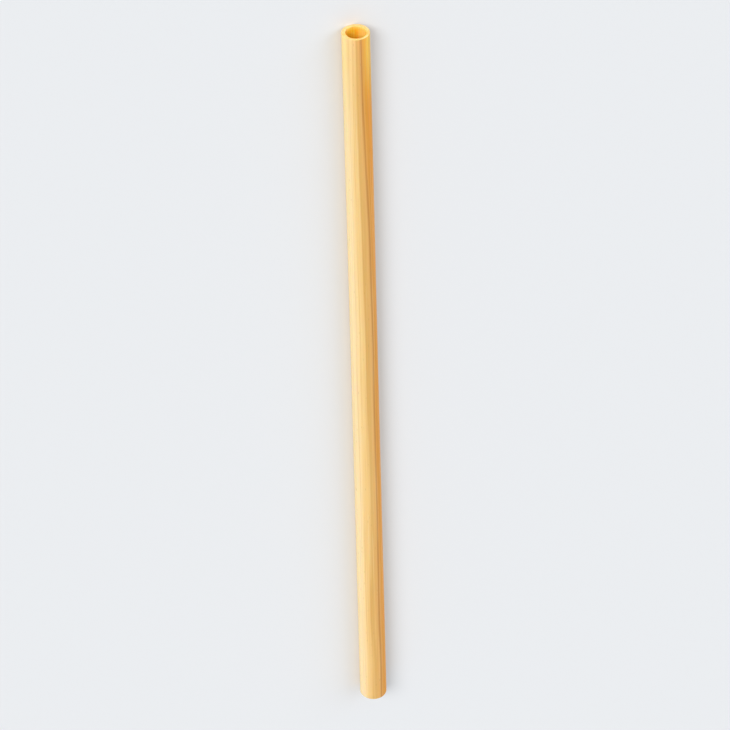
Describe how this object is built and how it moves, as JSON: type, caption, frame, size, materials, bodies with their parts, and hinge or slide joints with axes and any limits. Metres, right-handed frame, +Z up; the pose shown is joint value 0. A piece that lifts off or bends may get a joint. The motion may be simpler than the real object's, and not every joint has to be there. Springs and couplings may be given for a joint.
{
  "type": "natural reed drinking straw",
  "caption": "Straight drinking straw of natural reed: a thin-walled tube with fine fibre ribs and open square-cut ends, lying on its side.",
  "frame": {"origin": "on the ground, under the middle of the straw's box", "axes": "+X along the straw towards its mouth, +Y across it, +Z up from the surface that it lies on"},
  "size_m": [0.2002, 0.0066, 0.0063],
  "materials": {
    "reed": "satin"
  },
  "bodies": {
    "root": {"straw": "reed"}
  },
  "joints": []
}
